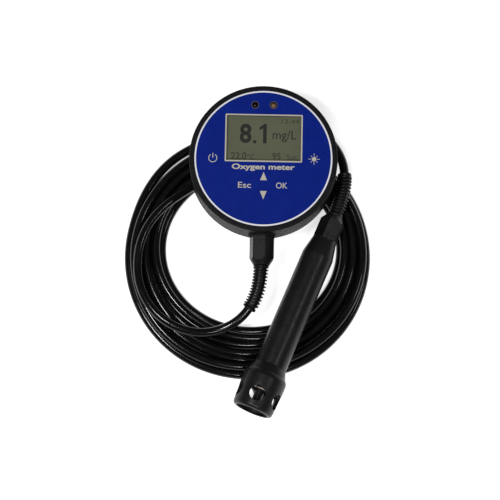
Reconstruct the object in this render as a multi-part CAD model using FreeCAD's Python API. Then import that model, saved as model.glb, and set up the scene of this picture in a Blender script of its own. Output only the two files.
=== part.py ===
import FreeCAD, Part
import math
import os

# Handheld dissolved-oxygen meter with its probe on a coiled cable, laid out flat.
# Millimetres, +Z up. The origin is on the table, at the centre of the cable coil.

V = FreeCAD.Vector

# ---------------------------------------------------------------- driving dimensions

# Cable and coil
CORD_D = 6.3
COIL_OUTER_R = 85.4
COIL_HEIGHT = 12.6
COIL_HOLE_RX = 59.0
COIL_HOLE_RY = 54.0
COIL_HOLE_CENTRE = (2.6, 5.5)
COIL_EDGE_R = 4.5
COIL_BASE_EDGE_R = 2.95

# Meter: a round case lying on the coil, its face up
METER_X = 11.0
METER_Y = 61.9
METER_BACK_Z = 13.2
METER_TURN = -1.1
CASE_R = 50.8
CASE_H = 30.0
CASE_WALL = 2.6
CASE_TOP_EDGE_R = 1.4
CASE_BACK_EDGE_R = 1.2
DECK_T = 2.2
FACE_RECESS = 0.8
BEZEL_W = 3.4
OVERLAY_T = 0.4
COVER_T = 3.0
COVER_FIT = 0.15
COVER_EDGE_R = 0.5
SCREW_CIRCLE_R = 43.5
SCREW_ANGLES = (35, 145, 215, 325)
SCREW_HEAD_R = 2.7
SCREW_HEAD_BOTTOM = 0.2
SCREW_HEAD_TOP = 1.6
SCREW_END = 10.5
SCREW_SLOT_L = 4.2
SCREW_SLOT_W = 0.7
SCREW_SLOT_DEPTH = 0.9
SCREW_HOLE_R = 1.5
SCREW_SINK_R = 3.0
SCREW_SINK_DEPTH = 1.7
BOSS_R = 3.2
PILOT_R = 1.2
PILOT_L = 10.0
GASKET_R = 0.74
GASKET_Z = 1.6
GASKET_GROOVE = (0.8, 2.4)
GASKET_GROOVE_DEPTH = 1.45

# Display
WINDOW_W = 51.0
WINDOW_H = 31.4
WINDOW_Y = 14.1
LCD_W = 57.0
LCD_H = 37.0
LCD_T = 2.2
LCD_GAP = 0.2
BACKLIGHT_T = 3.0
BACKLIGHT_GAP = 0.1
PANE_TOP_DEPTH = 0.2
PANE_BOTTOM_DEPTH = 1.4
PANE_FIT = 0.1

# Keys: name and centre on the face
KEYS = {
    "key_power": (-34.6, 0.0),
    "key_light": (34.6, 0.0),
    "key_up": (0.3, -12.4),
    "key_down": (0.3, -25.7),
    "key_esc": (-12.6, -18.8),
    "key_ok": (12.8, -18.8),
}
KEY_R = 5.2
KEY_STEM_R = 1.8
KEY_FIT = 0.08
KEY_POCKET_DEPTH = 0.6
KEY_POCKET_GAP = 0.3
SWITCH_SIZE = 6.0
SWITCH_H = 4.2
SWITCH_BUTTON_R = 1.6
SWITCH_BUTTON_RISE = 0.2
SWITCH_BODY_DROP = 0.6
KEY_STEM_REST = 0.65

# Infrared pair above the display
LED_X = 6.3
LED_Y = 37.3
LED_R = 1.9
LED_H = 6.2
LED_FLANGE_R = 2.3
LED_FLANGE_T = 1.0
LED_GAP = 0.3

# Boards and battery
BOARD_R = 39.5
BOARD_T = 1.6
BOARD_Z = 19.6
CELL_R = 7.1
CELL_L = 49.2
CELL_PITCH = 14.6
CELL_NUB_R = 2.7
CELL_NUB_L = 1.2
HOLDER_WALL = 1.2
HOLDER_H = 8.0
HOLDER_END_GAP = 2.2
HOLDER_SIDE_GAP = 0.4
CONTACT_T = 0.4
CONTACT_W = 9.0
CONTACT_TOP = 11.0
CHIPS = ((-15, -26, 12), (10, -27, 9), (0, 27, 10), (22, 24, 6))
CHIP_H = 1.5

# Cable glands, M12
GLAND_AF = 15.0
GLAND_THREAD_R = 6.0
GLAND_FLANGE_T = 3.1
GLAND_NECK_R = 5.6
GLAND_NECK_L = 8.0
GLAND_BORE_R = 4.9
GLAND_THREAD_L = 9.0
NUT_HEX_L = 11.6
NUT_CONE_L = 5.0
NUT_TURN = 15.0
PROBE_NUT_HEX_L = 9.6
LOCKNUT_T = 2.6
BEND_GUARD_D = 10.6
BEND_GUARD_L = 31.0
CORD_GAP = 0.15
METER_GLAND_Z = 13.5
GLAND_SEAT_R = 9.5
GLAND_SEAT_OUT = 1.0
GLAND_SEAT_L = 12.0
GLAND_HOLE_L = 30.0
THROUGH = 99.0

# Probe: its axis runs from the guard's mouth back to the gland
MOUTH = V(2.85, -109.6, 28.0)
PROBE_YAW = 23.0
PROBE_PITCH = 3.0
HANDLE_R = 11.0
HANDLE_START = 33.2
HANDLE_END = 116.5
HANDLE_TIP = 128.6
HANDLE_FACE = 129.5
HANDLE_TIP_R = 8.5
HANDLE_WALL = 2.4
HANDLE_STEP = 62.0
NECK_R = 9.6
NECK_START = 24.5
GUARD_FIT = 0.1
GUARD_L = 33.0
GUARD_R = 15.0
GUARD_MOUTH_R = 14.2
GUARD_BORE_R = 12.3
GUARD_SHOULDER = 25.4
GUARD_RIM_R = 2.6
GUARD_WIDEST = 18.0
GUARD_GROOVE_R = 11.0
GUARD_GROOVE = (27.0, 29.0)
GUARD_RING_R = 10.8
GUARD_RING = (27.2, 28.8)
GUARD_HOLE_R = 5.5
GUARD_HOLE_Z = 10.9
GUARD_HOLES = 5
GUARD_HOLE_ANGLE = 88.0
CAP_R = 3.2
CAP_START = 7.0
CAP_END = 15.9
CAP_EDGE_R = 0.6
CAP_FACE_T = 0.9
CAP_FIT = 0.1
CAP_OPENING_R = 1.4
NOSE_R = 2.45
NOSE_START = 8.4
ANODE_OUTER_R = 2.35
ANODE_INNER_R = 1.45
ANODE_L = 3.1
CATHODE_R = 0.9
CATHODE_L = 6.1
MEMBRANE_T = 0.15
COLLAR_R = 5.5
COLLAR_START = 16.6
CARRIER_R = 7.5
CARRIER_START = 20.0
CARRIER_END = 60.0
O_RING_Z = (36.0, 41.0)
O_RING_R = 0.6
O_RING_GROOVE_W = 1.5
O_RING_GROOVE_DEPTH = 1.2
THERMISTOR_R = 1.2
THERMISTOR_X = 4.6
THERMISTOR_START = 30.2
THERMISTOR_END = 46.0
PROBE_BOARD_W = 12.5
PROBE_BOARD_START = 64.0
PROBE_BOARD_END = 110.0

# ---------------------------------------------------------------- placements


def meter_place():
    return FreeCAD.Placement(V(METER_X, METER_Y, METER_BACK_Z), FreeCAD.Rotation(V(0, 0, 1), METER_TURN))


def probe_axis():
    yaw = math.radians(PROBE_YAW)
    pitch = math.radians(PROBE_PITCH)
    return V(math.sin(yaw) * math.cos(pitch), math.cos(yaw) * math.cos(pitch), -math.sin(pitch))


def probe_place():
    # Local Z runs from the mouth to the gland, and local Y points up.
    yaw = math.radians(PROBE_YAW)
    axis = probe_axis()
    side = V(-math.cos(yaw), math.sin(yaw), 0)
    return FreeCAD.Placement(MOUTH, FreeCAD.Rotation(side, axis.cross(side), axis, "ZXY"))


def gland_place():
    # Local Z leaves the meter through its lower wall, from the gland's seat.
    seat = V(0, -(CASE_R + GLAND_SEAT_OUT), METER_GLAND_Z)
    out = FreeCAD.Placement(seat, FreeCAD.Rotation(V(1, 0, 0), 90))
    return meter_place().multiply(out)


def probe_gland_place():
    seat = FreeCAD.Placement(V(0, 0, HANDLE_FACE), FreeCAD.Rotation())
    return probe_place().multiply(seat)


# ---------------------------------------------------------------- shape helpers


def cylinder(r, z0, z1, x=0.0, y=0.0):
    return Part.makeCylinder(r, z1 - z0, V(x, y, z0))


def ring(outer, inner, z0, z1, x=0.0, y=0.0):
    return cylinder(outer, z0, z1, x, y).cut(cylinder(inner, z0 - 1, z1 + 1, x, y))


def block(cx, cy, lx, ly, z0, z1):
    return Part.makeBox(lx, ly, z1 - z0, V(cx - lx / 2, cy - ly / 2, z0))


def turned(profile):
    """A solid of revolution about Z from (radius, height) points."""
    points = [V(r, 0, z) for r, z in profile]
    face = Part.Face(Part.makePolygon(points + [points[0]]))
    return face.revolve(V(0, 0, 0), V(0, 0, 1), 360)


def hexagon(af, z0, z1, turn=0.0):
    corner = af / math.sqrt(3)
    angles = [math.radians(turn + 60 * i) for i in range(7)]
    points = [V(corner * math.cos(a), corner * math.sin(a), z0) for a in angles]
    return Part.Face(Part.makePolygon(points)).extrude(V(0, 0, z1 - z0))


def polar(r, degrees):
    a = math.radians(degrees)
    return r * math.cos(a), r * math.sin(a)


def circle_edges(solid, r, z, tol=1e-3):
    """The round edges of one radius about Z at one height."""
    found = []
    for edge in solid.Edges:
        curve = edge.Curve
        round_edge = isinstance(curve, Part.Circle) and abs(curve.Radius - r) < tol
        if round_edge and abs(curve.Center.z - z) < tol:
            found.append(edge)
    return found


def placed(shape, place):
    out = shape.copy()
    out.Placement = place.multiply(out.Placement)
    return out


PARTS = {}


def add(name, shape):
    PARTS[name] = shape


# ---------------------------------------------------------------- meter


def meter_case():
    inner_r = CASE_R - CASE_WALL
    face_z = CASE_H - FACE_RECESS
    deck_z = face_z - DECK_T
    case = cylinder(CASE_R, 0, CASE_H)
    case = case.makeFillet(CASE_TOP_EDGE_R, circle_edges(case, CASE_R, CASE_H))
    case = case.makeFillet(CASE_BACK_EDGE_R, circle_edges(case, CASE_R, 0))
    seat_start = V(0, -(CASE_R + GLAND_SEAT_OUT), METER_GLAND_Z)
    case = case.fuse(Part.makeCylinder(GLAND_SEAT_R, GLAND_SEAT_L, seat_start, V(0, 1, 0)))
    case = case.cut(cylinder(inner_r, -1, deck_z))
    case = case.cut(cylinder(CASE_R - BEZEL_W, face_z, CASE_H + 1))
    window_w = WINDOW_W + 2 * PANE_FIT
    window_h = WINDOW_H + 2 * PANE_FIT
    case = case.cut(block(0, WINDOW_Y, window_w, window_h, deck_z - 1, face_z + 1))
    for x, y in KEYS.values():
        case = case.cut(cylinder(KEY_R + KEY_POCKET_GAP, face_z - KEY_POCKET_DEPTH, face_z + 1, x, y))
        case = case.cut(cylinder(KEY_STEM_R + KEY_FIT, deck_z - 1, face_z, x, y))
    for side in (-1, 1):
        case = case.cut(cylinder(LED_R + LED_GAP, deck_z - 1, face_z + 1, side * LED_X, LED_Y))
    for angle in SCREW_ANGLES:
        x, y = polar(SCREW_CIRCLE_R, angle)
        case = case.fuse(cylinder(BOSS_R, COVER_T + 0.2, deck_z + 0.5, x, y))
        case = case.cut(cylinder(PILOT_R, COVER_T, COVER_T + PILOT_L, x, y))
    bore_start = V(0, -(CASE_R + GLAND_SEAT_OUT + 1), METER_GLAND_Z)
    bore = Part.makeCylinder(GLAND_THREAD_R + 0.1, GLAND_HOLE_L, bore_start, V(0, 1, 0))
    add("front_housing", placed(case.cut(bore), meter_place()))


def meter_cover():
    inner_r = CASE_R - CASE_WALL
    cover_r = inner_r - COVER_FIT
    cover = cylinder(cover_r, 0, COVER_T)
    cover = cover.makeFillet(COVER_EDGE_R, circle_edges(cover, cover_r, 0))
    cover = cover.cut(ring(inner_r + 1, cover_r - GASKET_GROOVE_DEPTH, *GASKET_GROOVE))
    screws = []
    for angle in SCREW_ANGLES:
        x, y = polar(SCREW_CIRCLE_R, angle)
        cover = cover.cut(cylinder(SCREW_SINK_R, -1, SCREW_SINK_DEPTH, x, y))
        cover = cover.cut(cylinder(SCREW_HOLE_R, -1, COVER_T + 1, x, y))
        screw = cylinder(SCREW_HEAD_R, SCREW_HEAD_BOTTOM, SCREW_HEAD_TOP, x, y)
        screw = screw.fuse(cylinder(PILOT_R - 0.02, SCREW_HEAD_TOP - 0.1, SCREW_END, x, y))
        screw = screw.cut(block(x, y, SCREW_SLOT_L, SCREW_SLOT_W, 0, SCREW_SLOT_DEPTH))
        screws.append(screw.cut(block(x, y, SCREW_SLOT_W, SCREW_SLOT_L, 0, SCREW_SLOT_DEPTH)))
    add("rear_cover", placed(cover, meter_place()))
    add("cover_screws", placed(Part.makeCompound(screws), meter_place()))
    seal = Part.makeTorus(inner_r - GASKET_R - 0.06, GASKET_R, V(0, 0, GASKET_Z))
    add("housing_gasket", placed(seal, meter_place()))


def meter_face():
    face_z = CASE_H - FACE_RECESS
    overlay = cylinder(CASE_R - BEZEL_W - 0.1, face_z, face_z + OVERLAY_T)
    overlay = overlay.cut(block(0, WINDOW_Y, WINDOW_W, WINDOW_H, face_z - 1, CASE_H + 1))
    for x, y in KEYS.values():
        overlay = overlay.cut(cylinder(KEY_R + KEY_FIT, face_z - 1, CASE_H + 1, x, y))
    for side in (-1, 1):
        overlay = overlay.cut(cylinder(LED_R + LED_GAP, face_z - 1, CASE_H + 1, side * LED_X, LED_Y))
    add("graphic_overlay", placed(overlay, meter_place()))
    pane_bottom = face_z - PANE_BOTTOM_DEPTH
    pane = block(0, WINDOW_Y, WINDOW_W, WINDOW_H, pane_bottom, face_z - PANE_TOP_DEPTH)
    add("window_pane", placed(pane, meter_place()))
    board_top = BOARD_Z + BOARD_T
    switch_top = board_top + SWITCH_H
    switches = []
    for name, (x, y) in KEYS.items():
        key = cylinder(KEY_R, face_z, face_z + OVERLAY_T, x, y)
        key = key.fuse(cylinder(KEY_STEM_R, switch_top + KEY_STEM_REST, face_z + 0.1, x, y))
        add(name, placed(key, meter_place()))
        switch = block(x, y, SWITCH_SIZE, SWITCH_SIZE, board_top, switch_top - SWITCH_BODY_DROP)
        button = cylinder(SWITCH_BUTTON_R, board_top + 1, switch_top + SWITCH_BUTTON_RISE, x, y)
        switches.append(switch.fuse(button))
    add("key_switches", placed(Part.makeCompound(switches), meter_place()))


def meter_display():
    glass_top = CASE_H - FACE_RECESS - DECK_T - LCD_GAP
    glass_bottom = glass_top - LCD_T
    glass = block(0, WINDOW_Y, LCD_W, LCD_H, glass_bottom, glass_top)
    add("lcd_glass", placed(glass, meter_place()))
    light_top = glass_bottom - BACKLIGHT_GAP
    light = block(0, WINDOW_Y, LCD_W, LCD_H, light_top - BACKLIGHT_T, light_top)
    add("lcd_backlight", placed(light, meter_place()))
    top = BOARD_Z + BOARD_T
    for side, name in ((-1, "ir_receiver"), (1, "ir_emitter")):
        x = side * LED_X
        led = cylinder(LED_R, top, top + LED_H, x, LED_Y)
        led = led.fuse(cylinder(LED_FLANGE_R, top, top + LED_FLANGE_T, x, LED_Y))
        led = led.fuse(Part.makeSphere(LED_R, V(x, LED_Y, top + LED_H)))
        add(name, placed(led, meter_place()))


def meter_inside():
    board = cylinder(BOARD_R, BOARD_Z, BOARD_Z + BOARD_T)
    add("main_board", placed(board, meter_place()))
    chips = [block(x, y, size, size, BOARD_Z - CHIP_H, BOARD_Z) for x, y, size in CHIPS]
    add("board_chips", placed(Part.makeCompound(chips), meter_place()))

    floor_z = COVER_T + 0.3
    half_l = CELL_L / 2 + HOLDER_END_GAP
    half_w = CELL_PITCH / 2 + CELL_R + HOLDER_SIDE_GAP
    holder_w = 2 * (half_w + HOLDER_WALL)
    holder = block(0, 0, 2 * (half_l + HOLDER_WALL), holder_w, floor_z, floor_z + HOLDER_H)
    hollow = block(0, 0, 2 * half_l, 2 * half_w, floor_z + HOLDER_WALL, floor_z + HOLDER_H + 1)
    add("battery_holder", placed(holder.cut(hollow), meter_place()))
    rest_z = floor_z + HOLDER_WALL + 0.1
    cell_z = rest_z + CELL_R
    contacts = []
    for i, side in enumerate((-1, 1)):
        y = side * CELL_PITCH / 2
        along = V(side, 0, 0)
        cell = Part.makeCylinder(CELL_R, CELL_L, V(-side * CELL_L / 2, y, cell_z), along)
        nub = Part.makeCylinder(CELL_NUB_R, CELL_NUB_L, V(side * CELL_L / 2, y, cell_z), along)
        add(f"battery_cell_{i + 1}", placed(cell.fuse(nub), meter_place()))
        for end in (-1, 1):
            plate_x = end * (half_l - 0.3)
            contacts.append(block(plate_x, y, CONTACT_T, CONTACT_W, rest_z, floor_z + CONTACT_TOP))
    add("battery_contacts", placed(Part.makeCompound(contacts), meter_place()))


# ---------------------------------------------------------------- cable glands


def gland(prefix, place, hex_l, locknut):
    flange = hexagon(GLAND_AF, 0, GLAND_FLANGE_T, NUT_TURN)
    neck = cylinder(GLAND_NECK_R, GLAND_FLANGE_T - 0.1, GLAND_FLANGE_T + GLAND_NECK_L)
    thread = cylinder(GLAND_THREAD_R - 0.05, -GLAND_THREAD_L, 0.1)
    body = flange.fuse(neck).fuse(thread)
    body = body.cut(cylinder(GLAND_BORE_R, GLAND_FLANGE_T, THROUGH))
    body = body.cut(cylinder(CORD_D / 2 + 0.5, -THROUGH, THROUGH))
    add(prefix + "_gland_body", placed(body, place))

    start = GLAND_FLANGE_T + 0.1
    end = start + hex_l + NUT_CONE_L
    nut = hexagon(GLAND_AF, start, end, NUT_TURN)
    corner = GLAND_AF / math.sqrt(3) + 0.01
    bend_r = BEND_GUARD_D / 2
    profile = [(0, start), (corner, start), (corner, start + hex_l)]
    profile += [(bend_r + 0.2, end), (0, end)]
    nut = nut.common(turned(profile))
    nut = nut.cut(cylinder(GLAND_NECK_R + 0.1, start - 1, start + GLAND_NECK_L + 0.2))
    nut = nut.cut(cylinder(CORD_D / 2 + CORD_GAP, start - 1, end + 1))
    add(prefix + "_gland_nut", placed(nut, place))

    seal_start = GLAND_FLANGE_T + 0.2
    seal = ring(GLAND_BORE_R - 0.1, CORD_D / 2 + CORD_GAP, seal_start, GLAND_FLANGE_T + GLAND_NECK_L)
    add(prefix + "_gland_seal", placed(seal, place))

    if locknut:
        # The wall behind the seat is cut by the round cavity, so the nut bears on a chord.
        chord = math.sqrt((CASE_R - CASE_WALL) ** 2 - corner ** 2)
        inner = CASE_R + GLAND_SEAT_OUT - chord + 0.05
        nut_in = hexagon(GLAND_AF, -inner - LOCKNUT_T, -inner)
        nut_in = nut_in.cut(cylinder(GLAND_THREAD_R, -THROUGH, THROUGH))
        add(prefix + "_gland_locknut", placed(nut_in, place))
    return end


# ---------------------------------------------------------------- probe


def probe_handle():
    profile = [
        (NECK_R, NECK_START),
        (NECK_R, HANDLE_START),
        (HANDLE_R, HANDLE_START),
        (HANDLE_R, HANDLE_END),
        (HANDLE_TIP_R, HANDLE_TIP),
        (HANDLE_TIP_R, HANDLE_FACE),
        (GLAND_THREAD_R + 0.05, HANDLE_FACE),
        (GLAND_THREAD_R + 0.05, HANDLE_END + 2),
        (HANDLE_R - HANDLE_WALL, HANDLE_END - 2),
        (HANDLE_R - HANDLE_WALL, HANDLE_STEP),
        (CARRIER_R + 0.1, CARRIER_END),
        (CARRIER_R + 0.1, NECK_START),
    ]
    add("probe_handle", placed(turned(profile), probe_place()))


def probe_guard():
    lip_r = GUARD_MOUTH_R - GUARD_RIM_R
    a = V(lip_r, 0, 0)
    half = GUARD_RIM_R * math.sin(math.pi / 4)
    curve_mid = V(lip_r + half, 0, GUARD_RIM_R - half)
    b = V(GUARD_MOUTH_R, 0, GUARD_RIM_R)
    c = V(GUARD_R, 0, GUARD_WIDEST)
    d = V(GUARD_R, 0, GUARD_SHOULDER - 2)
    bend = V(GUARD_R - 0.55, 0, GUARD_SHOULDER + 0.3)
    e = V(GUARD_R - 1.9, 0, GUARD_SHOULDER + 2.2)
    f = V(HANDLE_R + 0.1, 0, GUARD_L)
    g = V(NECK_R + GUARD_FIT, 0, GUARD_L)
    h = V(NECK_R + GUARD_FIT, 0, NECK_START - 0.5)
    i = V(GUARD_BORE_R, 0, NECK_START - 2.5)
    j = V(GUARD_BORE_R, 0, 1.6)
    k = V(lip_r - 0.6, 0, 0.4)
    edges = [
        Part.Arc(a, curve_mid, b).toShape(),
        Part.LineSegment(b, c).toShape(),
        Part.LineSegment(c, d).toShape(),
        Part.Arc(d, bend, e).toShape(),
        Part.LineSegment(e, f).toShape(),
        Part.LineSegment(f, g).toShape(),
        Part.LineSegment(g, h).toShape(),
        Part.LineSegment(h, i).toShape(),
        Part.LineSegment(i, j).toShape(),
        Part.LineSegment(j, k).toShape(),
        Part.LineSegment(k, a).toShape(),
    ]
    guard = Part.Face(Part.Wire(edges)).revolve(V(0, 0, 0), V(0, 0, 1), 360)
    guard = guard.cut(ring(GUARD_GROOVE_R, NECK_R - 1, *GUARD_GROOVE))
    for i in range(GUARD_HOLES):
        x, y = polar(1.0, GUARD_HOLE_ANGLE + 360 / GUARD_HOLES * i)
        guard = guard.cut(Part.makeCylinder(GUARD_HOLE_R, 2 * GUARD_R, V(0, 0, GUARD_HOLE_Z), V(x, y, 0)))
    add("probe_guard", placed(guard, probe_place()))
    add("guard_ring", placed(ring(GUARD_RING_R, NECK_R + 0.08, *GUARD_RING), probe_place()))


def probe_sensor():
    place = probe_place()
    anode_end = NOSE_START + ANODE_L + 0.1
    carrier = turned([
        (0, NOSE_START),
        (ANODE_INNER_R - 0.05, NOSE_START),
        (ANODE_INNER_R - 0.05, anode_end),
        (NOSE_R, anode_end),
        (NOSE_R, COLLAR_START),
        (COLLAR_R, COLLAR_START),
        (COLLAR_R, CARRIER_START),
        (CARRIER_R, CARRIER_START),
        (CARRIER_R, CARRIER_END),
        (0, CARRIER_END),
    ])
    cathode_end = NOSE_START - 0.2 + CATHODE_L
    carrier = carrier.cut(cylinder(CATHODE_R + 0.05, NOSE_START - 1, cathode_end + 0.1))
    wire_hole = cylinder(THERMISTOR_R + 0.1, THERMISTOR_START - 0.2, CARRIER_END + 1, THERMISTOR_X, 0)
    carrier = carrier.cut(wire_hole)
    rings = []
    for z in O_RING_Z:
        low = z - O_RING_GROOVE_W / 2
        high = z + O_RING_GROOVE_W / 2
        carrier = carrier.cut(ring(CARRIER_R + 1, CARRIER_R - O_RING_GROOVE_DEPTH, low, high))
        rings.append(Part.makeTorus(CARRIER_R - O_RING_R + 0.05, O_RING_R, V(0, 0, z)))
    add("sensor_carrier", placed(carrier, place))
    add("carrier_o_rings", placed(Part.makeCompound(rings), place))
    add("cathode", placed(cylinder(CATHODE_R, NOSE_START - 0.2, cathode_end), place))
    add("anode", placed(ring(ANODE_OUTER_R, ANODE_INNER_R, NOSE_START, NOSE_START + ANODE_L), place))
    cap = cylinder(CAP_R, CAP_START, CAP_END)
    cap = cap.makeFillet(CAP_EDGE_R, circle_edges(cap, CAP_R, CAP_START))
    cap = cap.cut(cylinder(NOSE_R + CAP_FIT, CAP_START + CAP_FACE_T, CAP_END + 1))
    cap = cap.cut(cylinder(CAP_OPENING_R, CAP_START - 1, CAP_START + 1))
    add("membrane_cap", placed(cap, place))
    film_z = CAP_START + CAP_FACE_T + 0.05
    add("membrane", placed(cylinder(NOSE_R, film_z, film_z + MEMBRANE_T), place))
    seal = ring(CAP_R, NOSE_R + CAP_FIT, CAP_END + 0.05, COLLAR_START - 0.05)
    add("cap_seal", placed(seal, place))
    bead = cylinder(THERMISTOR_R, THERMISTOR_START, THERMISTOR_END, THERMISTOR_X, 0)
    add("thermistor", placed(bead, place))
    board = block(0, 0, PROBE_BOARD_W, BOARD_T, PROBE_BOARD_START, PROBE_BOARD_END)
    add("probe_board", placed(board, place))


# ---------------------------------------------------------------- cable

# The cable's free stretches, from each gland to the coil
METER_LEAD = [
    (9.794, -0.888, 26.7), (9.487, -16.885, 26.7), (5.5, -32.6, 24.6), (-3.6, -45.0, 20.2),
    (-16.3, -52.4, 17.0), (-31.3, -55.1, 15.95), (-46.2, -52.2, 16.0), (-59.4, -44.6, 15.9),
    (-69.6, -32.6, 15.3), (-75.0, -18.4, 14.7), (-75.9, -3.4, 14.4), (-73.2, 11.4, 14.5),
    (-66.4, 24.6, 14.6), (-56.4, 35.5, 13.2), (-44.9, 44.4, 10.3), (-32.0, 52.6, 8.2),
]
PROBE_LEAD = [
    (56.933, 17.803, 20.746), (63.216, 32.602, 19.904), (67.5, 48.3, 19.2), (66.9, 64.4, 15.2),
    (60.2, 79.0, 8.6), (48.6, 90.0, 4.0), (33.6, 96.2, 3.2), (17.6, 97.2, 3.3),
    (2.1, 94.1, 3.2), (-12.6, 88.0, 3.3), (-26.0, 79.6, 3.2),
]


def route(points, label):
    """Straight runs joined by tangent arcs, each as large as its two runs allow."""
    pts = [V(*p) for p in points]
    edges = []
    radii = []
    start = pts[0]
    for before, corner, after in zip(pts, pts[1:], pts[2:]):
        back = before - corner
        ahead = after - corner
        run = min(back.Length, ahead.Length)
        back.normalize()
        ahead.normalize()
        turn = math.pi - back.getAngle(ahead)
        reach = 0.45 * run
        radius = reach / math.tan(turn / 2)
        radii.append(radius)
        first = corner + back * reach
        last = corner + ahead * reach
        middle = (back + ahead).normalize()
        depth = radius / math.cos(turn / 2) - radius
        edges.append(Part.LineSegment(start, first).toShape())
        edges.append(Part.Arc(first, corner + middle * depth, last).toShape())
        start = last
    edges.append(Part.LineSegment(start, pts[-1]).toShape())
    print(label, "radii", [round(r) for r in radii], "smallest", round(min(radii), 1))
    return Part.Wire(edges)


def swept(wire, radius):
    start = wire.Edges[0].Vertexes[0].Point
    heading = wire.Edges[0].tangentAt(wire.Edges[0].FirstParameter)
    section = Part.Wire(Part.makeCircle(radius, start, heading))
    return wire.makePipeShell([section], True, True)


def stretch(wire, start, end):
    """The part of a wire between two distances along it."""
    kept = []
    done = 0.0
    for edge in wire.Edges:
        low = max(start - done, 0.0)
        high = min(end - done, edge.Length)
        if high - low > 1e-6:
            first = edge.getParameterByLength(low)
            last = edge.getParameterByLength(high)
            kept.append(edge.Curve.toShape(first, last))
        done += edge.Length
    return Part.Wire(kept)


def cord(prefix, points, inside):
    """One free stretch of cable, and the bend guard that it leaves its gland through."""
    path = route(points, prefix)
    tube = swept(path, CORD_D / 2)
    ideal = math.pi * CORD_D ** 2 / 4 * path.Length
    print(prefix, "length", round(path.Length, 1), "volume share", round(tube.Volume / ideal, 4))
    add("cord_lead_" + prefix, tube)
    over = stretch(path, inside, inside + BEND_GUARD_L)
    outer = swept(over, BEND_GUARD_D / 2)
    inner = swept(path, CORD_D / 2 + CORD_GAP)
    add(prefix + "_bend_guard", outer.cut(inner))


def rims(solid, z):
    """The long edges of a ring that lie at one height."""
    found = []
    for edge in solid.Edges:
        box = edge.BoundBox
        flat = abs(box.ZMin - z) < 0.01 and abs(box.ZMax - z) < 0.01
        if flat and edge.Length > COIL_OUTER_R:
            found.append(edge)
    return found


def coil():
    """The whole coil as one closed ring of its outer shape."""
    centre = V(COIL_HOLE_CENTRE[0], COIL_HOLE_CENTRE[1], -1)
    hole_edge = Part.Ellipse(centre, COIL_HOLE_RX, COIL_HOLE_RY).toShape()
    hole = Part.Face(Part.Wire(hole_edge)).extrude(V(0, 0, COIL_HEIGHT + 2))
    solid = cylinder(COIL_OUTER_R, 0, COIL_HEIGHT).cut(hole)
    solid = solid.makeFillet(COIL_EDGE_R, rims(solid, COIL_HEIGHT))
    return solid.makeFillet(COIL_BASE_EDGE_R, rims(solid, 0))


# ---------------------------------------------------------------- build

meter_case()
meter_cover()
meter_face()
meter_display()
meter_inside()
meter_nut_end = gland("meter", gland_place(), NUT_HEX_L, True)
probe_nut_end = gland("probe", probe_gland_place(), PROBE_NUT_HEX_L, False)
probe_handle()
probe_guard()
probe_sensor()
meter_nut_face = gland_place().multVec(V(0, 0, meter_nut_end))
probe_nut_face = probe_gland_place().multVec(V(0, 0, probe_nut_end))
cord("meter", METER_LEAD, (meter_nut_face - V(*METER_LEAD[0])).Length + 0.1)
cord("probe", PROBE_LEAD, (probe_nut_face - V(*PROBE_LEAD[0])).Length + 0.1)
add("cord_coil", coil())

os.makedirs("parts", exist_ok=True)
for name, shape in PARTS.items():
    shape.exportStep(f"parts/{name}.step")
print(len(PARTS), "nodes; meter nut face", meter_nut_face, "probe nut face", probe_nut_face)
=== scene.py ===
import math

import bmesh
import bpy
from mathutils import Matrix, Vector


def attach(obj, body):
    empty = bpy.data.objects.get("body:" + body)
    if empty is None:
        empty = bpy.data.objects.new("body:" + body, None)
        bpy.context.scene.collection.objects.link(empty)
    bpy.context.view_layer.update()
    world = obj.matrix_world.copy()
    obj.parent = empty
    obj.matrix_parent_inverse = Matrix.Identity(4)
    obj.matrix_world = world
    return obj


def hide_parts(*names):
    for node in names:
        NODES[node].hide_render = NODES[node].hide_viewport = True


# Dissolved-oxygen meter with its probe on a coiled cable.
# Metres, in the CAD part's frame: the origin is on the table at the coil's centre.

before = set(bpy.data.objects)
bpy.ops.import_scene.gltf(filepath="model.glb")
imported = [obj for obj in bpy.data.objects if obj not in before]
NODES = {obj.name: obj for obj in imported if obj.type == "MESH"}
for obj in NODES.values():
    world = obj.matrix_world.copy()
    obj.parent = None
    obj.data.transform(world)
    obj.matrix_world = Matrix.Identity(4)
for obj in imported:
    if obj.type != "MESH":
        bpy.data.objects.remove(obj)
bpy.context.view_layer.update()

MM = 0.001

# ---------------------------------------------------------------- camera and stage

CAMERA_TARGET = Vector((1.833, 5.819, 0.0)) * MM
CAMERA_DISTANCE = 1.8
CAMERA_TILT = math.radians(10)
CAMERA_LENS = 186.4

# Soft boxes: name, place, size and power
SOFT_BOXES = (
    ("left_box", (-0.42, -0.12, 1.3), (0.2, 0.16), 7.5),
    ("front_box", (0.08, -0.75, 1.3), (0.34, 0.14), 7.0),
    ("right_box", (0.8, -0.07, 1.2), (0.2, 0.16), 1.4),
)
WORLD_LIGHT = 0.11
FLOOR_GLOW = 0.68
FLOOR_HALF = 3.0
FLOOR_DROP = 0.2 * MM


def make_camera():
    data = bpy.data.cameras.new("camera")
    data.lens = CAMERA_LENS
    data.sensor_width = 36
    camera = bpy.data.objects.new("camera", data)
    away = Vector((0, -math.sin(CAMERA_TILT), math.cos(CAMERA_TILT)))
    camera.location = CAMERA_TARGET + CAMERA_DISTANCE * away
    camera.rotation_euler = (CAMERA_TILT, 0, 0)
    bpy.context.scene.collection.objects.link(camera)
    bpy.context.scene.camera = camera


def area_light(name, place, size, power):
    data = bpy.data.lights.new(name, "AREA")
    data.shape = "RECTANGLE"
    data.size, data.size_y = size
    data.energy = power
    light = bpy.data.objects.new(name, data)
    light.location = place
    heading = -Vector(place)
    light.rotation_euler = heading.to_track_quat("-Z", "Y").to_euler()
    bpy.context.scene.collection.objects.link(light)


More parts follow.
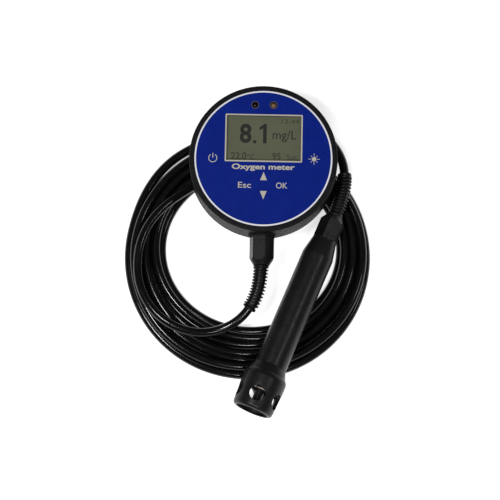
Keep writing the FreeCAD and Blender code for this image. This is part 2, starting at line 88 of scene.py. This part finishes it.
def make_stage():
    mesh = bpy.data.meshes.new("floor")
    corners = [(-1, -1), (1, -1), (1, 1), (-1, 1)]
    mesh.from_pydata([(x * FLOOR_HALF, y * FLOOR_HALF, 0) for x, y in corners], [], [(0, 1, 2, 3)])
    floor = bpy.data.objects.new("floor", mesh)
    floor.location.z = -FLOOR_DROP
    bpy.context.scene.collection.objects.link(floor)
    paper = bpy.data.materials.new("paper")
    paper.use_nodes = True
    shader = paper.node_tree.nodes["Principled BSDF"]
    shader.inputs["Base Color"].default_value = (0.9, 0.9, 0.9, 1)
    shader.inputs["Roughness"].default_value = 0.9
    shader.inputs["Emission Color"].default_value = (1, 1, 1, 1)
    shader.inputs["Emission Strength"].default_value = FLOOR_GLOW
    mesh.materials.append(paper)
    world = bpy.data.worlds.new("studio")
    world.use_nodes = True
    background = world.node_tree.nodes["Background"]
    background.inputs["Color"].default_value = (1, 1, 1, 1)
    background.inputs["Strength"].default_value = WORLD_LIGHT
    bpy.context.scene.world = world
    bpy.context.scene.view_settings.view_transform = "Standard"
    for soft_box in SOFT_BOXES:
        area_light(*soft_box)


make_camera()
make_stage()

# ---------------------------------------------------------------- materials


class Shader:
    """A procedural material, with short calls for the nodes that it is made of."""

    def __init__(self, name, rough=0.5, **sockets):
        self.material = bpy.data.materials.new(name)
        self.material.use_nodes = True
        self.tree = self.material.node_tree
        self.surface = self.tree.nodes["Principled BSDF"]
        self.surface.inputs["Roughness"].default_value = rough
        for socket, value in sockets.items():
            self.surface.inputs[socket.replace("_", " ")].default_value = value
        self.place = self.node("ShaderNodeTexCoord").outputs["Object"]

    def node(self, kind, links=(), **settings):
        made = self.tree.nodes.new(kind)
        for key, value in settings.items():
            if hasattr(made, key):
                setattr(made, key, value)
            else:
                made.inputs[key.replace("_", " ")].default_value = value
        for socket, source in links:
            self.tree.links.new(source, made.inputs[socket])
        return made

    def noise(self, size_mm, detail=3.0, stretch=None):
        """Noise whose blotches are about size_mm across."""
        place = self.place
        if stretch:
            place = self.node("ShaderNodeMapping", [("Vector", place)], Scale=stretch).outputs[0]
        size = {"Scale": 1 / (size_mm * MM), "Detail": detail}
        return self.node("ShaderNodeTexNoise", [("Vector", place)], **size).outputs["Fac"]

    def ramp(self, source, low, high):
        """A colour between two, by noise."""
        ramp = self.node("ShaderNodeValToRGB", [("Fac", source)])
        for stop, position, colour in zip(ramp.color_ramp.elements, (0.3, 0.7), (low, high)):
            stop.position = position
            stop.color = (*colour, 1)
        return ramp.outputs["Color"]

    def spread(self, source, low, high):
        """Noise, which is mostly between 0.3 and 0.7, spread over a range."""
        limits = {"From_Min": 0.3, "From_Max": 0.7, "To_Min": low, "To_Max": high}
        return self.node("ShaderNodeMapRange", [("Value", source)], **limits).outputs[0]

    def feed(self, socket, source):
        self.tree.links.new(source, self.surface.inputs[socket])

    def bump(self, source, height_mm):
        bump = self.node("ShaderNodeBump", [("Height", source)], Strength=1.0, Distance=height_mm * MM)
        self.feed("Normal", bump.outputs["Normal"])


def moulded(name, low, high, rough, grain_mm, grain_height, sockets):
    """Moulded plastic or rubber: fine grain, faint blotches and an uneven polish."""
    shader = Shader(name, **sockets)
    shader.feed("Base Color", shader.ramp(shader.noise(9.0, 5.0), low, high))
    shader.feed("Roughness", shader.spread(shader.noise(3.0, 4.0), rough - 0.05, rough + 0.06))
    shader.bump(shader.noise(grain_mm, 2.0), grain_height)
    return shader.material


def grey(value, tint=0.0):
    return (value, value, value * (1 + tint))


MATTE = {"Specular_IOR_Level": 0.06}
SATIN = {"Specular_IOR_Level": 0.25}
FILM = {"Specular_IOR_Level": 0.06}

# Moulded finishes: name, darker and lighter colour, roughness, size and height of the grain in mm, gloss
MOULDED = (
    ("case", grey(0.008, 0.08), grey(0.012, 0.08), 0.5, 0.5, 0.03, MATTE),
    ("cover", grey(0.01, 0.08), grey(0.014, 0.08), 0.55, 0.6, 0.04, MATTE),
    ("overlay", (0.0025, 0.0145, 0.205), (0.0035, 0.0175, 0.23), 0.4, 0.18, 0.006, FILM),
    ("print", grey(0.82), grey(0.88), 0.5, 0.1, 0.004, MATTE),
    ("cream", (0.5, 0.47, 0.39), (0.55, 0.52, 0.43), 0.5, 0.1, 0.004, MATTE),
    ("lens_rim", (0.11, 0.09, 0.05), (0.15, 0.125, 0.07), 0.4, 0.2, 0.004, MATTE),
    ("gland", grey(0.005, 0.1), grey(0.008, 0.1), 0.36, 0.3, 0.015, SATIN),
    ("sleeve", grey(0.004), grey(0.006), 0.34, 0.4, 0.01, SATIN),
    ("probe", grey(0.006, 0.15), grey(0.009, 0.15), 0.33, 0.3, 0.014, SATIN),
    ("guard", grey(0.005, 0.1), grey(0.008, 0.1), 0.36, 0.35, 0.02, SATIN),
    ("cap", grey(0.01), grey(0.014), 0.25, 0.4, 0.01, SATIN),
    ("rubber", grey(0.008), grey(0.012), 0.7, 0.3, 0.02, MATTE),
    ("pale_seal", (0.5, 0.45, 0.34), (0.58, 0.52, 0.4), 0.5, 0.3, 0.01, {}),
    ("chip", grey(0.02), grey(0.03), 0.5, 0.2, 0.01, {}),
    ("board", (0.01, 0.08, 0.03), (0.014, 0.11, 0.04), 0.35, 0.4, 0.02, {}),
    ("backlight", grey(0.7), grey(0.76), 0.4, 0.3, 0.01, {}),
    ("cell", (0.02, 0.03, 0.05), (0.03, 0.04, 0.07), 0.3, 0.6, 0.01, {}),
    ("membrane", grey(0.55), grey(0.62), 0.2, 0.4, 0.01, {}),
    ("dark_lens", (0.008, 0.005, 0.005), (0.014, 0.009, 0.009), 0.15, 0.5, 0.003, SATIN),
    ("tan_lens", (0.2, 0.11, 0.06), (0.26, 0.15, 0.09), 0.2, 0.5, 0.003, SATIN),
    ("digits", (0.038, 0.039, 0.032), (0.045, 0.046, 0.038), 0.5, 0.2, 0.002, MATTE),
    ("faint_digits", (0.062, 0.065, 0.048), (0.075, 0.078, 0.058), 0.5, 0.2, 0.002, MATTE),
)
METALS = {"steel": (0.5, 0.5, 0.51), "gold": (0.8, 0.56, 0.22), "silver": (0.6, 0.6, 0.6)}


def brushed_metal(name, tone):
    metal = Shader(name, Metallic=1.0)
    brushed = metal.noise(0.4, 2.0, (1, 12, 1))
    metal.feed("Base Color", metal.ramp(brushed, tuple(0.85 * c for c in tone), tone))
    metal.feed("Roughness", metal.spread(brushed, 0.25, 0.4))
    metal.bump(brushed, 0.01)
    return metal.material


def cable_material():
    """Black cable jacket: glossy, with faint waves and scuffs from handling."""
    shader = Shader("cable", Specular_IOR_Level=0.3)
    shader.feed("Base Color", shader.ramp(shader.noise(6.0, 4.0), grey(0.002), grey(0.0035)))
    shader.feed("Roughness", shader.spread(shader.noise(14.0, 1.0), 0.1, 0.17))
    shader.bump(shader.noise(60.0, 1.0), 0.05)
    return shader.material


def lcd_material():
    """The display's ground: greenish grey, with its dot grid."""
    shader = Shader("lcd", Specular_IOR_Level=0.1)
    grid = shader.node(
        "ShaderNodeTexBrick", [("Vector", shader.place)], offset=0.0, Scale=1 / (0.8 * MM),
        Mortar_Size=0.03, Brick_Width=0.5, Row_Height=0.5, Color1=(0.19, 0.2, 0.13, 1),
        Color2=(0.182, 0.192, 0.124, 1), Mortar=(0.162, 0.172, 0.112, 1),
    )
    tint = shader.ramp(shader.noise(18.0, 2.0), (0.93, 0.93, 0.9), (1, 1, 1))
    blend = shader.node("ShaderNodeMix", data_type="RGBA", blend_type="MULTIPLY")
    blend.inputs[0].default_value = 1.0
    shader.tree.links.new(grid.outputs["Color"], blend.inputs[6])
    shader.tree.links.new(tint, blend.inputs[7])
    shader.feed("Base Color", blend.outputs[2])
    shader.feed("Roughness", shader.spread(shader.noise(2.0), 0.4, 0.5))
    return shader.material


def window_material():
    """The display's clear pane: nearly all seen through."""
    shader = Shader("window", Alpha=0.1)
    shader.feed("Base Color", shader.ramp(shader.noise(5.0), grey(0.01), grey(0.02)))
    shader.feed("Roughness", shader.spread(shader.noise(1.5, 5.0), 0.05, 0.12))
    return shader.material


MATERIALS = {finish[0]: moulded(*finish) for finish in MOULDED}
MATERIALS.update({name: brushed_metal(name, tone) for name, tone in METALS.items()})
MATERIALS["cable"] = cable_material()
MATERIALS["lcd"] = lcd_material()
MATERIALS["window"] = window_material()

NODE_FINISH = {
    "case": ["front_housing"],
    "cover": ["rear_cover"],
    "overlay": ["graphic_overlay", "key_power", "key_light", "key_up", "key_down", "key_esc", "key_ok"],
    "window": ["window_pane"],
    "lcd": ["lcd_glass"],
    "backlight": ["lcd_backlight"],
    "board": ["main_board", "probe_board"],
    "chip": ["board_chips", "key_switches", "battery_holder"],
    "cell": ["battery_cell_1", "battery_cell_2"],
    "steel": ["battery_contacts", "cover_screws"],
    "dark_lens": ["ir_receiver"],
    "tan_lens": ["ir_emitter"],
    "gland": [
        "meter_gland_body", "meter_gland_nut", "meter_gland_locknut", "probe_gland_body", "probe_gland_nut",
    ],
    "sleeve": ["meter_bend_guard", "probe_bend_guard"],
    "rubber": [
        "housing_gasket", "meter_gland_seal", "probe_gland_seal", "guard_ring", "carrier_o_rings",
    ],
    "probe": ["probe_handle", "sensor_carrier"],
    "guard": ["probe_guard"],
    "cap": ["membrane_cap"],
    "pale_seal": ["cap_seal"],
    "membrane": ["membrane"],
    "gold": ["cathode"],
    "silver": ["anode", "thermistor"],
    "cable": ["cord_lead_meter", "cord_coil", "cord_lead_probe"],
}


def finish_cad_nodes():
    for finish, names in NODE_FINISH.items():
        for name in names:
            slots = NODES[name].data.materials
            if not slots:
                slots.append(MATERIALS[finish])
            for i in range(len(slots)):
                slots[i] = MATERIALS[finish]


finish_cad_nodes()

# ---------------------------------------------------------------- cable

CORD_D = 6.3
METER_LEAD = [
    (9.794, -0.888, 26.7), (9.487, -16.885, 26.7), (5.5, -32.6, 24.6), (-3.6, -45.0, 20.2),
    (-16.3, -52.4, 17.0), (-31.3, -55.1, 15.95), (-46.2, -52.2, 16.0), (-59.4, -44.6, 15.9),
    (-69.6, -32.6, 15.3), (-75.0, -18.4, 14.7), (-75.9, -3.4, 14.4), (-73.2, 11.4, 14.5),
    (-66.4, 24.6, 14.6), (-56.4, 35.5, 13.2), (-44.9, 44.4, 10.3), (-32.0, 52.6, 8.2),
]
PROBE_LEAD = [
    (56.933, 17.803, 20.746), (63.216, 32.602, 19.904), (67.5, 48.3, 19.2), (66.9, 64.4, 15.2),
    (60.2, 79.0, 8.6), (48.6, 90.0, 4.0), (33.6, 96.2, 3.2), (17.6, 97.2, 3.3),
    (2.1, 94.1, 3.2), (-12.8, 89.4, 3.3), (-26.5, 83.2, 3.2),
]

# The coil's lanes lie between an inner ellipse and an outer circle.
COIL_INNER = (62.3, 57.3)
COIL_CENTRE = (2.6, 5.5)
COIL_OUTER = 82.1
COIL_LANES = 6
STEPS_PER_TURN = 48
COIL_START = 112.0
COIL_END = 116.0

# The middle lanes sway a little from side to side, as a share of the coil's width.
WOBBLE = 0.03
WOBBLE_RATE = 2.37

# The outermost strand swings out before it goes under the meter to the probe: from an angle, over a
# number of degrees, by a distance in mm.
SWING_START = 168.0
SWING_LENGTH = 45.0
SWING_OUT = 4.4

# Under the meter the cable moves out one lane in each turn. The outermost turn moves first.
CHANGE_LENGTH = 26.0
CHANGE_STARTS = (62.0, 70.0, 78.0, 86.0, 93.0, 100.0, 106.0)


def smooth(t):
    """From 0 to 1, with a gentle start and end."""
    t = min(max(t, 0.0), 1.0)
    return t * t * (3 - 2 * t)


def around(angle):
    """The direction from the origin at an angle in degrees."""
    return Vector((math.cos(math.radians(angle)), math.sin(math.radians(angle)), 0))


def lane_point(lane, angle):
    """A point on one lane of the coil: even lanes lie on the table, odd ones in the dips between."""
    way = around(angle)
    across, along = (centre + half * part for centre, half, part in zip(COIL_CENTRE, COIL_INNER, way))
    inner = Vector((across, along, 0))
    outer = way * COIL_OUTER
    gap = (outer - inner).length / COIL_LANES
    point = inner.lerp(outer, lane / COIL_LANES)
    point.z = CORD_D / 2
    if lane % 2:
        point.z += math.sqrt(CORD_D ** 2 - gap ** 2)
    return point


def coil_points():
    """The coil's control points, clockwise seen from above."""
    points = []
    angle = COIL_START
    while angle > COIL_END - 360 * (COIL_LANES + 1):
        lane = -1
        share = 0.0
        for turn, start in enumerate(CHANGE_STARTS):
            passed = (start - 360 * turn - angle) / CHANGE_LENGTH
            if passed >= 1:
                lane = turn
            elif passed > 0:
                share = smooth(passed)
        here = lane_point(lane, angle)
        if share:
            here = here.lerp(lane_point(lane + 1, angle), share)
        sway = WOBBLE * math.sin(WOBBLE_RATE * math.radians(angle))
        if 0 < lane < COIL_LANES:
            outwards = lane_point(lane + 2, angle) - lane_point(lane, angle)
            here += outwards * sway * COIL_LANES / 2
        swing = smooth((SWING_START - 360 * (COIL_LANES + 1) - angle) / SWING_LENGTH)
        here += around(angle) * SWING_OUT * swing
        points.append(here)
        angle -= 360 / STEPS_PER_TURN
    return points


def cable_route():
    """Each control point of the cable, from the meter's gland to the probe's gland."""
    lead_in = [Vector(p) for p in METER_LEAD]
    lead_out = [Vector(p) for p in reversed(PROBE_LEAD)]
    return [p * MM for p in lead_in + coil_points() + lead_out]


def make_cable():
    points = cable_route()
    data = bpy.data.curves.new("cable", "CURVE")
    data.dimensions = "3D"
    # A point's own radius counts in the curve's bounds, so it holds the real radius, and the depth is 1.
    data.bevel_depth = 1.0
    data.bevel_resolution = 10
    data.resolution_u = 6
    data.use_fill_caps = True
    spline = data.splines.new("NURBS")
    spline.points.add(len(points) - 1)
    for control, point in zip(spline.points, points):
        control.co = (*point, 1)
        control.radius = CORD_D / 2 * MM
    spline.order_u = 3
    spline.use_endpoint_u = True
    cable = bpy.data.objects.new("cable", data)
    bpy.context.scene.collection.objects.link(cable)
    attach(cable, "instrument")
    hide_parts("cord_lead_meter", "cord_coil", "cord_lead_probe")
    return cable


def centreline(cable):
    """The points along the cable's smooth line."""
    plain = cable.data.copy()
    plain.bevel_depth = 0
    stand_in = bpy.data.objects.new("line", plain)
    mesh = bpy.data.meshes.new_from_object(stand_in)
    line = [v.co.copy() for v in mesh.vertices]
    bpy.data.objects.remove(stand_in)
    bpy.data.curves.remove(plain)
    bpy.data.meshes.remove(mesh)
    return line


cable = make_cable()
cable.data.materials.append(MATERIALS["cable"])
LINE = centreline(cable)

# ---------------------------------------------------------------- helpers for pieces


def piece(name, mesh, body, material):
    """A finished mesh as a piece that rides on a body."""
    made = bpy.data.objects.new(name, mesh)
    bpy.context.scene.collection.objects.link(made)
    mesh.materials.clear()
    mesh.materials.append(MATERIALS[material])
    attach(made, body)
    return made


def mesh_of(name, vertices, faces):
    mesh = bpy.data.meshes.new(name)
    mesh.from_pydata(vertices, [], faces)
    mesh.validate()
    mesh.shade_smooth()
    return mesh


# ---------------------------------------------------------------- spiral bend guards

SLEEVE_LENGTH = 31.0
SLEEVE_PITCH = 2.2
SLEEVE_CORE_R = 4.05
SLEEVE_RIB_R = 0.72
SLEEVE_OUTER_R = 5.3
SLEEVE_BORE_R = CORD_D / 2 + 0.06
SLEEVE_TAPER = 0.15
COLLAR = 1.3
COLLAR_SLOPE = 0.4
TIP = 0.5
TIP_START = 1.9
TIP_EDGE = 1.5
TIP_ROUND = 0.2
TIP_INSET = 0.3
RIB_FLATNESS = 0.85
SLEEVE_SIDES = 32
RIB_SIDES = 10
RIB_STEPS = 20

# Where each sleeve begins, in mm along the cable from its end
METER_SLEEVE_START = 8.95
PROBE_SLEEVE_START = 8.75


class Along:
    """Places along a line, with a frame that doesn't twist."""

    def __init__(self, line):
        self.points = line
        self.ways = [0.0]
        for a, b in zip(line, line[1:]):
            self.ways.append(self.ways[-1] + (b - a).length)
        self.frames = []
        side = Vector((0, 0, 1))
        for i in range(len(line)):
            ahead = (line[min(i + 1, len(line) - 1)] - line[max(i - 1, 0)]).normalized()
            side = (side - ahead * side.dot(ahead)).normalized()
            self.frames.append((side, ahead.cross(side)))

    def at(self, way):
        """The point a distance along the line, and two directions across it."""
        i = 0
        while i < len(self.ways) - 2 and self.ways[i + 1] < way:
            i += 1
        share = (way - self.ways[i]) / (self.ways[i + 1] - self.ways[i])
        point = self.points[i].lerp(self.points[i + 1], share)
        side = self.frames[i][0].lerp(self.frames[i + 1][0], share).normalized()
        other = self.frames[i][1].lerp(self.frames[i + 1][1], share).normalized()
        return point, side, other


def skin(rings, looped):
    """Faces between rings, which close on the first ring if looped, and are capped if not."""
    count = len(rings[0])
    vertices = [v for ring in rings for v in ring]
    faces = []
    for i in range(len(rings) if looped else len(rings) - 1):
        near, far = i * count, (i + 1) % len(rings) * count
        for j in range(count):
            k = (j + 1) % count
            faces.append((near + j, near + k, far + k, far + j))
    if not looped:
        faces.append(tuple(reversed(range(count))))
        faces.append(tuple(len(vertices) - count + j for j in range(count)))
    return vertices, faces


def sleeve_outline():
    """The sleeve's section: radius and distance along, about every millimetre, once round."""
    tip_r = SLEEVE_OUTER_R - TIP
    corners = [
        (SLEEVE_BORE_R, 0), (SLEEVE_OUTER_R, 0), (SLEEVE_OUTER_R, COLLAR),
        (SLEEVE_CORE_R, COLLAR + COLLAR_SLOPE), (SLEEVE_CORE_R - SLEEVE_TAPER, SLEEVE_LENGTH - TIP_START),
        (tip_r, SLEEVE_LENGTH - TIP_EDGE), (tip_r, SLEEVE_LENGTH - TIP_ROUND),
        (tip_r - TIP_INSET, SLEEVE_LENGTH), (SLEEVE_BORE_R, SLEEVE_LENGTH),
    ]
    outline = []
    for (r0, w0), (r1, w1) in zip(corners, corners[1:]):
        steps = max(1, round(w1 - w0))
        outline += [(r0 + (r1 - r0) * i / steps, w0 + (w1 - w0) * i / steps) for i in range(steps)]
    outline.append(corners[-1])
    back = round(SLEEVE_LENGTH)
    return outline + [(SLEEVE_BORE_R, SLEEVE_LENGTH * (1 - i / back)) for i in range(1, back)]


def sleeve_rings(along, start):
    rings = []
    for r, w in sleeve_outline():
        centre, side, other = along.at((start + w) * MM)
        turns = [2 * math.pi * j / SLEEVE_SIDES for j in range(SLEEVE_SIDES)]
        rings.append([centre + (side * math.cos(a) + other * math.sin(a)) * r * MM for a in turns])
    return rings


def rib_rings(along, start):
    """The rib's sections, along its spiral round the sleeve."""
    rings = []
    coils = (SLEEVE_LENGTH - COLLAR - TIP_START) / SLEEVE_PITCH
    for i in range(int(coils * RIB_STEPS) + 1):
        turn = i / RIB_STEPS
        w = start + COLLAR + turn * SLEEVE_PITCH
        centre, side, other = along.at(w * MM)
        ahead = (along.at((w + 0.5) * MM)[0] - centre).normalized()
        out = side * math.cos(2 * math.pi * turn) + other * math.sin(2 * math.pi * turn)
        middle = centre + out * (SLEEVE_OUTER_R - SLEEVE_RIB_R) * MM
        ring = []
        for j in range(RIB_SIDES):
            b = 2 * math.pi * j / RIB_SIDES
            offset = out * math.cos(b) + ahead * math.sin(b) * RIB_FLATNESS
            ring.append(middle + offset * SLEEVE_RIB_R * MM)
        rings.append(ring)
    return rings


def bend_guard(name, node, line, start):
    """A sleeve round the cable with one spiral rib along it."""
    along = Along(line)
    vertices, faces = skin(sleeve_rings(along, start), looped=True)
    rib, rib_faces = skin(rib_rings(along, start), looped=False)
    faces += [tuple(len(vertices) + v for v in face) for face in rib_faces]
    made = piece(name, mesh_of(name, vertices + rib, faces), "instrument", "sleeve")
    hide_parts(node)


bend_guard("meter_spiral_sleeve", "meter_bend_guard", LINE, METER_SLEEVE_START)
bend_guard("probe_spiral_sleeve", "probe_bend_guard", LINE[::-1], PROBE_SLEEVE_START)

# ---------------------------------------------------------------- print on the meter's face

# The meter's place and turn. Its own frame has the face's centre at x = y = 0, and its back at z = 0.
METER_AT = (11.0, 61.9, 13.2)
METER_TURN = math.radians(-1.1)
METER = Matrix.Translation(Vector(METER_AT) * MM) @ Matrix.Rotation(METER_TURN, 4, "Z")
FACE_Z = 29.6
LCD_Z = 26.8
INK = 0.03
RING_R = 46.6
RING_W = 1.05

# The display window's centre and size, and the width of the frame round it
WINDOW = (0.0, 14.1, 51.0, 31.4)
FRAME_W = 0.95
LENS_AT = (6.3, 37.3)
KEY_AT = {
    "key_power": (-34.6, 0.0),
    "key_light": (34.6, 0.0),
    "key_up": (0.3, -12.4),
    "key_down": (0.3, -25.7),
    "key_esc": (-12.6, -18.8),
    "key_ok": (12.8, -18.8),
}


def raised(name, shape, body, material):
    """Flat faces on the meter's face, raised by the ink's thickness, as a piece."""
    top = bmesh.ops.extrude_face_region(shape, geom=shape.faces[:])
    up = [v for v in top["geom"] if isinstance(v, bmesh.types.BMVert)]
    bmesh.ops.translate(shape, verts=up, vec=(0, 0, INK * MM))
    bmesh.ops.recalc_face_normals(shape, faces=shape.faces[:])
    shape.transform(METER)
    mesh = bpy.data.meshes.new(name)
    shape.to_mesh(mesh)
    shape.free()
    mesh.shade_flat()
    return piece(name, mesh, body, material)


def inked(name, outlines, z=FACE_Z, body="instrument", material="cream"):
    """Print from closed outlines. Each is its outer points, and as many inner points or None."""
    shape = bmesh.new()
    for outer, inner in outlines:
        loops = []
        for points in [outer] + ([inner] if inner else []):
            loops.append([shape.verts.new((x * MM, y * MM, z * MM)) for x, y in points])
        if not inner:
            shape.faces.new(loops[0])
            continue
        for j in range(len(outer)):
            k = (j + 1) % len(outer)
            shape.faces.new((loops[0][j], loops[0][k], loops[1][k], loops[1][j]))
    return raised(name, shape, body, material)


def circle(cx, cy, r, count=96, start=0.0, end=360.0):
    step = (end - start) / count
    full = abs(end - start - 360) < 1e-6
    angles = [math.radians(start + step * i) for i in range(count if full else count + 1)]
    return [(cx + r * math.cos(a), cy + r * math.sin(a)) for a in angles]


def annulus(cx, cy, outer, inner, count=96):
    return circle(cx, cy, outer, count), circle(cx, cy, inner, count)


def rounded(cx, cy, w, h, r, count=6):
    points = []
    for sx, sy, start in ((1, 1, 0), (-1, 1, 90), (-1, -1, 180), (1, -1, 270)):
        corner = circle(cx + sx * (w / 2 - r), cy + sy * (h / 2 - r), r, count, start, start + 90)
        points += corner
    return points


def lettering(name, text, centre, height, width=None, bold=0.0, body="instrument", z=FACE_Z,
              slot="overlay", material="cream"):
    """Letters of a given height, and width if stated, centred on a point of the face."""
    data = bpy.data.curves.new(name, "FONT")
    data.body = text
    data.size = 1.0
    data.offset = bold
    data.resolution_u = 6
    stand_in = bpy.data.objects.new(name + "_text", data)
    letters = bpy.data.meshes.new_from_object(stand_in)
    bpy.data.objects.remove(stand_in)
    bpy.data.curves.remove(data)
    xs = [v.co.x for v in letters.vertices]
    ys = [v.co.y for v in letters.vertices]
    tall = height / (max(ys) - min(ys)) * MM
    wide = width / (max(xs) - min(xs)) * MM if width else tall
    middle = Vector(((max(xs) + min(xs)) / 2, (max(ys) + min(ys)) / 2, 0))
    shape = bmesh.new()
    shape.from_mesh(letters)
    bpy.data.meshes.remove(letters)
    bmesh.ops.remove_doubles(shape, verts=shape.verts[:], dist=1e-5)
    bmesh.ops.translate(shape, verts=shape.verts[:], vec=-middle)
    bmesh.ops.scale(shape, verts=shape.verts[:], vec=(wide, tall, 1))
    bmesh.ops.translate(shape, verts=shape.verts[:], vec=Vector((*centre, z)) * MM)
    return raised(name, shape, body, material)


def face_print():
    ring = annulus(0, 0, RING_R + RING_W / 2, RING_R - RING_W / 2, 192)
    inked("print_ring", [ring], material="print")
    x, y, w, h = WINDOW
    frame_outer = rounded(x, y, w + 2 * FRAME_W, h + 2 * FRAME_W, 0.7)
    inked("print_window_frame", [(frame_outer, rounded(x, y, w, h, 0.3))])
    lens_x, lens_y = LENS_AT
    rims = [annulus(side * lens_x, lens_y, 2.65, 2.25, 48) for side in (-1, 1)]
    inked("print_lens_rims", rims, material="lens_rim")
    lettering("print_descriptor", "Oxygen meter", (0, -6.5), 5.0, 43, bold=0.03)


def power_icon(x, y):
    """A ring open at the top, with a bar in the gap."""
    outer, inner = (circle(x, y - 0.4, r, 40, 122, 418) for r in (3.05, 2.5))
    return [(outer + inner[::-1], None), (rounded(x, y + 1.4, 0.55, 3.6, 0.25, 4), None)]


def light_icon(x, y):
    """A disc with eight rays, long and short in turn."""
    parts = [(circle(x, y, 1.55, 40), None)]
    for i in range(8):
        along = Vector((math.cos(math.radians(45 * i)), math.sin(math.radians(45 * i))))
        across = Vector((-along.y, along.x)) * 0.2
        near = Vector((x, y)) + along * 2.0
        far = Vector((x, y)) + along * (3.9 if i % 2 == 0 else 3.2)
        ray = [tuple(p) for p in (near - across, far - across, far + across, near + across)]
        parts.append((ray, None))
    return parts


def arrow_icon(x, y, tip):
    """A triangle that points up where tip is 1, and down where it is -1."""
    across, high = 2.35 * tip, 2.9 * tip
    return [([(x - across, y - high), (x + across, y - high), (x, y + high)], None)]


def key_print():
    icons = {
        "power": power_icon(*KEY_AT["key_power"]),
        "light": light_icon(*KEY_AT["key_light"]),
        "up": arrow_icon(*KEY_AT["key_up"], 1),
        "down": arrow_icon(*KEY_AT["key_down"], -1),
    }
    for name, outlines in icons.items():
        inked("icon_" + name, outlines, body="key_" + name)
    for name, text, width in (("esc", "Esc", 8.9), ("ok", "OK", 7.8)):
        key = "key_" + name
        lettering("legend_" + name, text, KEY_AT[key], 4.1, width, bold=0.01, body=key, slot="key")


def reading(name, *args, **settings):
    """Letters on the display."""
    lettering("display_" + name, *args, z=LCD_Z, slot="lcd", **settings)


def display_print():
    reading("whole", "8", (-12.5, 17.8), 13.6, 8.0, bold=0.03, material="digits")
    point = rounded(-6.2, 12.0, 2.1, 2.1, 0.3)
    one = [(-0.5, 11.0), (1.9, 11.0), (1.9, 24.6), (0.2, 24.6), (-3.0, 22.2), (-3.0, 20.2), (-0.5, 21.4)]
    inked("display_tenth", [(point, None), (one, None)], LCD_Z, material="digits")
    reading("unit", "mg/L", (14.2, 16.2), 8.3, 16.3, material="digits")
    reading("temperature", "22.0", (-17.0, 2.1), 4.9, 10.6, bold=0.01, material="faint_digits")
    reading("degrees", "\u00b0C", (-8.7, 1.5), 3.7, 4.6, material="faint_digits")
    reading("saturation", "95", (8.9, 2.1), 4.9, 5.7, bold=0.01, material="faint_digits")
    reading("percent", "%sat", (19.4, 1.5), 3.6, 7.5, material="faint_digits")
    reading("time", "12:44", (18.0, 26.6), 2.9, 12.0, material="faint_digits")


face_print()
key_print()
display_print()
